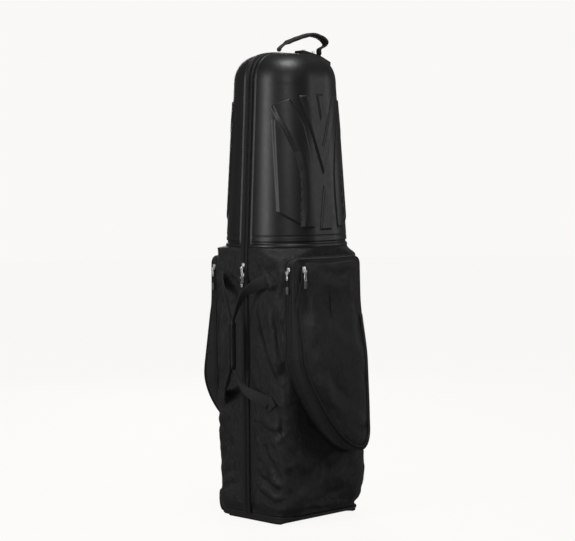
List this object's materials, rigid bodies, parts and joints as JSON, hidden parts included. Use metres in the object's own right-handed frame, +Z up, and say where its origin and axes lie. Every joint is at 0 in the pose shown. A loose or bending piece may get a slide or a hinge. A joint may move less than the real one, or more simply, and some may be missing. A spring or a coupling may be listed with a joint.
{
  "type": "golf travel case",
  "caption": "Upright hard-top golf travel case: moulded half shells over a soft fabric body with pockets, zipped front that opens as a lid, handles and a wheeled base.",
  "frame": {"origin": "on the floor under the middle of the base tray, where the case stands", "axes": "+Z up, -Y out of the front, -X out of the side with the zip sliders and the carry handle"},
  "size_m": [0.3745, 0.4346, 1.3386],
  "materials": {
    "shell": "satin moulded",
    "base": "moulded, fine grain",
    "fabric": "woven nylon",
    "webbing": "woven webbing",
    "tape": "zip tape",
    "nickel": "nickel plated",
    "axle": "turned",
    "rubber": "matte",
    "tab": "matte"
  },
  "bodies": {
    "rear_half": {"rear_shell": "shell", "rear_body_fabric": "fabric", "rear_zip_tape": "tape", "rear_garment_pocket": "fabric", "rear_outer_pocket": "fabric", "base_tray": "base", "base_board": "base", "wheel_housing_left": "base", "wheel_housing_right": "base", "wheel_axle_left": "axle", "wheel_axle_right": "axle"},
    "front_lid": {"front_shell": "shell", "front_body_fabric": "fabric", "front_zip_tape": "tape", "front_garment_pocket": "fabric", "front_outer_pocket": "fabric", "handle_anchor_pad": "base", "anchor_rivet_left": "nickel", "anchor_rivet_right": "nickel"},
    "wheel_left": {"wheel_hub_left": "base", "wheel_tyre_left": "rubber"},
    "wheel_right": {"wheel_hub_right": "base", "wheel_tyre_right": "rubber"},
    "top_handle": {"top_handle_strap": "webbing", "top_handle_sleeve": "fabric"},
    "front_carry_handle": {"front_carry_strap": "webbing", "front_carry_grip": "webbing"},
    "rear_carry_handle": {"rear_carry_strap": "webbing", "rear_carry_grip": "webbing"},
    "main_upper_slider_body": {"main_upper_slider": "nickel"},
    "main_upper_pull_body": {"main_upper_pull": "nickel", "main_upper_tab": "tab"},
    "main_lower_slider_body": {"main_lower_slider": "nickel"},
    "main_lower_pull_body": {"main_lower_pull": "nickel"},
    "front_inner_slider_body": {"front_inner_slider": "nickel"},
    "front_inner_pull_body": {"front_inner_pull": "nickel", "front_inner_tab": "tab"},
    "front_outer_slider_body": {"front_outer_slider": "nickel"},
    "front_outer_pull_body": {"front_outer_pull": "nickel", "front_outer_tab": "tab"},
    "rear_inner_slider_body": {"rear_inner_slider": "nickel"},
    "rear_inner_pull_body": {"rear_inner_pull": "nickel", "rear_inner_tab": "tab"},
    "rear_outer_slider_body": {"rear_outer_slider": "nickel"},
    "rear_outer_pull_body": {"rear_outer_pull": "nickel", "rear_outer_tab": "tab"}
  },
  "joints": [
    {"name": "lid_open", "type": "hinge", "parent": "rear_half", "child": "front_lid", "pos_m": [0, -0.152, 0.0233], "axis": [1, 0, 0], "range_deg": [0, 70]},
    {"name": "wheel_left_roll", "type": "hinge", "parent": "rear_half", "child": "wheel_left", "pos_m": [-0.112, 0.126, 0.033], "axis": [1, 0, 0], "continuous": true},
    {"name": "wheel_right_roll", "type": "hinge", "parent": "rear_half", "child": "wheel_right", "pos_m": [0.112, 0.126, 0.033], "axis": [1, 0, 0], "continuous": true},
    {"name": "top_handle_swing", "type": "hinge", "parent": "front_lid", "child": "top_handle", "pos_m": [-0.042, -0.024, 1.29318], "axis": [0.9797, -0.1837, -0.0803], "range_deg": [-45, 45]},
    {"name": "front_carry_swing", "type": "hinge", "parent": "front_lid", "child": "front_carry_handle", "pos_m": [-0.1578, -0.092, 0.552], "axis": [0, 0, 1], "range_deg": [0, 80]},
    {"name": "rear_carry_swing", "type": "hinge", "parent": "rear_half", "child": "rear_carry_handle", "pos_m": [-0.1578, 0.092, 0.552], "axis": [0, 0, -1], "range_deg": [0, 80]},
    {"name": "main_upper_travel", "type": "slide", "parent": "rear_half", "child": "main_upper_slider_body", "axis": [0.0558, 0, 0.9984], "range_m": [0, 0.44]},
    {"name": "main_lower_travel", "type": "slide", "parent": "rear_half", "child": "main_lower_slider_body", "axis": [0, 0, -1], "range_m": [0, 0.55]},
    {"name": "front_inner_travel", "type": "slide", "parent": "front_lid", "child": "front_inner_slider_body", "axis": [0, 0, -1], "range_m": [0, 0.19]},
    {"name": "front_outer_travel", "type": "slide", "parent": "front_lid", "child": "front_outer_slider_body", "axis": [0, -0.0272, -0.9996], "range_m": [0, 0.042]},
    {"name": "rear_inner_travel", "type": "slide", "parent": "rear_half", "child": "rear_inner_slider_body", "axis": [0, 0, -1], "range_m": [0, 0.19]},
    {"name": "rear_outer_travel", "type": "slide", "parent": "rear_half", "child": "rear_outer_slider_body", "axis": [0, 0.0272, -0.9996], "range_m": [0, 0.042]},
    {"name": "main_upper_pull_lift", "type": "hinge", "parent": "main_upper_slider_body", "child": "main_upper_pull_body", "pos_m": [-0.16848, 0, 0.69542], "axis": [0, 1, 0], "range_deg": [0, 90]},
    {"name": "main_lower_pull_lift", "type": "hinge", "parent": "main_lower_slider_body", "child": "main_lower_pull_body", "pos_m": [-0.16866, 0, 0.668], "axis": [0, 1, 0], "range_deg": [0, 120]},
    {"name": "front_inner_pull_lift", "type": "hinge", "parent": "front_inner_slider_body", "child": "front_inner_pull_body", "pos_m": [-0.1413, -0.15204, 0.686], "axis": [0, 1, 0], "range_deg": [0, 120]},
    {"name": "rear_inner_pull_lift", "type": "hinge", "parent": "rear_inner_slider_body", "child": "rear_inner_pull_body", "pos_m": [-0.1413, 0.15204, 0.686], "axis": [0, 1, 0], "range_deg": [0, 120]},
    {"name": "front_outer_pull_lift", "type": "hinge", "parent": "front_outer_slider_body", "child": "front_outer_pull_body", "pos_m": [-0.10062, -0.18017, 0.6882], "axis": [-0.9964, 0.0849, -0.0023], "range_deg": [0, 120]},
    {"name": "rear_outer_pull_lift", "type": "hinge", "parent": "rear_outer_slider_body", "child": "rear_outer_pull_body", "pos_m": [-0.10062, 0.18017, 0.6882], "axis": [0.9964, 0.0849, 0.0023], "range_deg": [0, 120]}
  ]
}
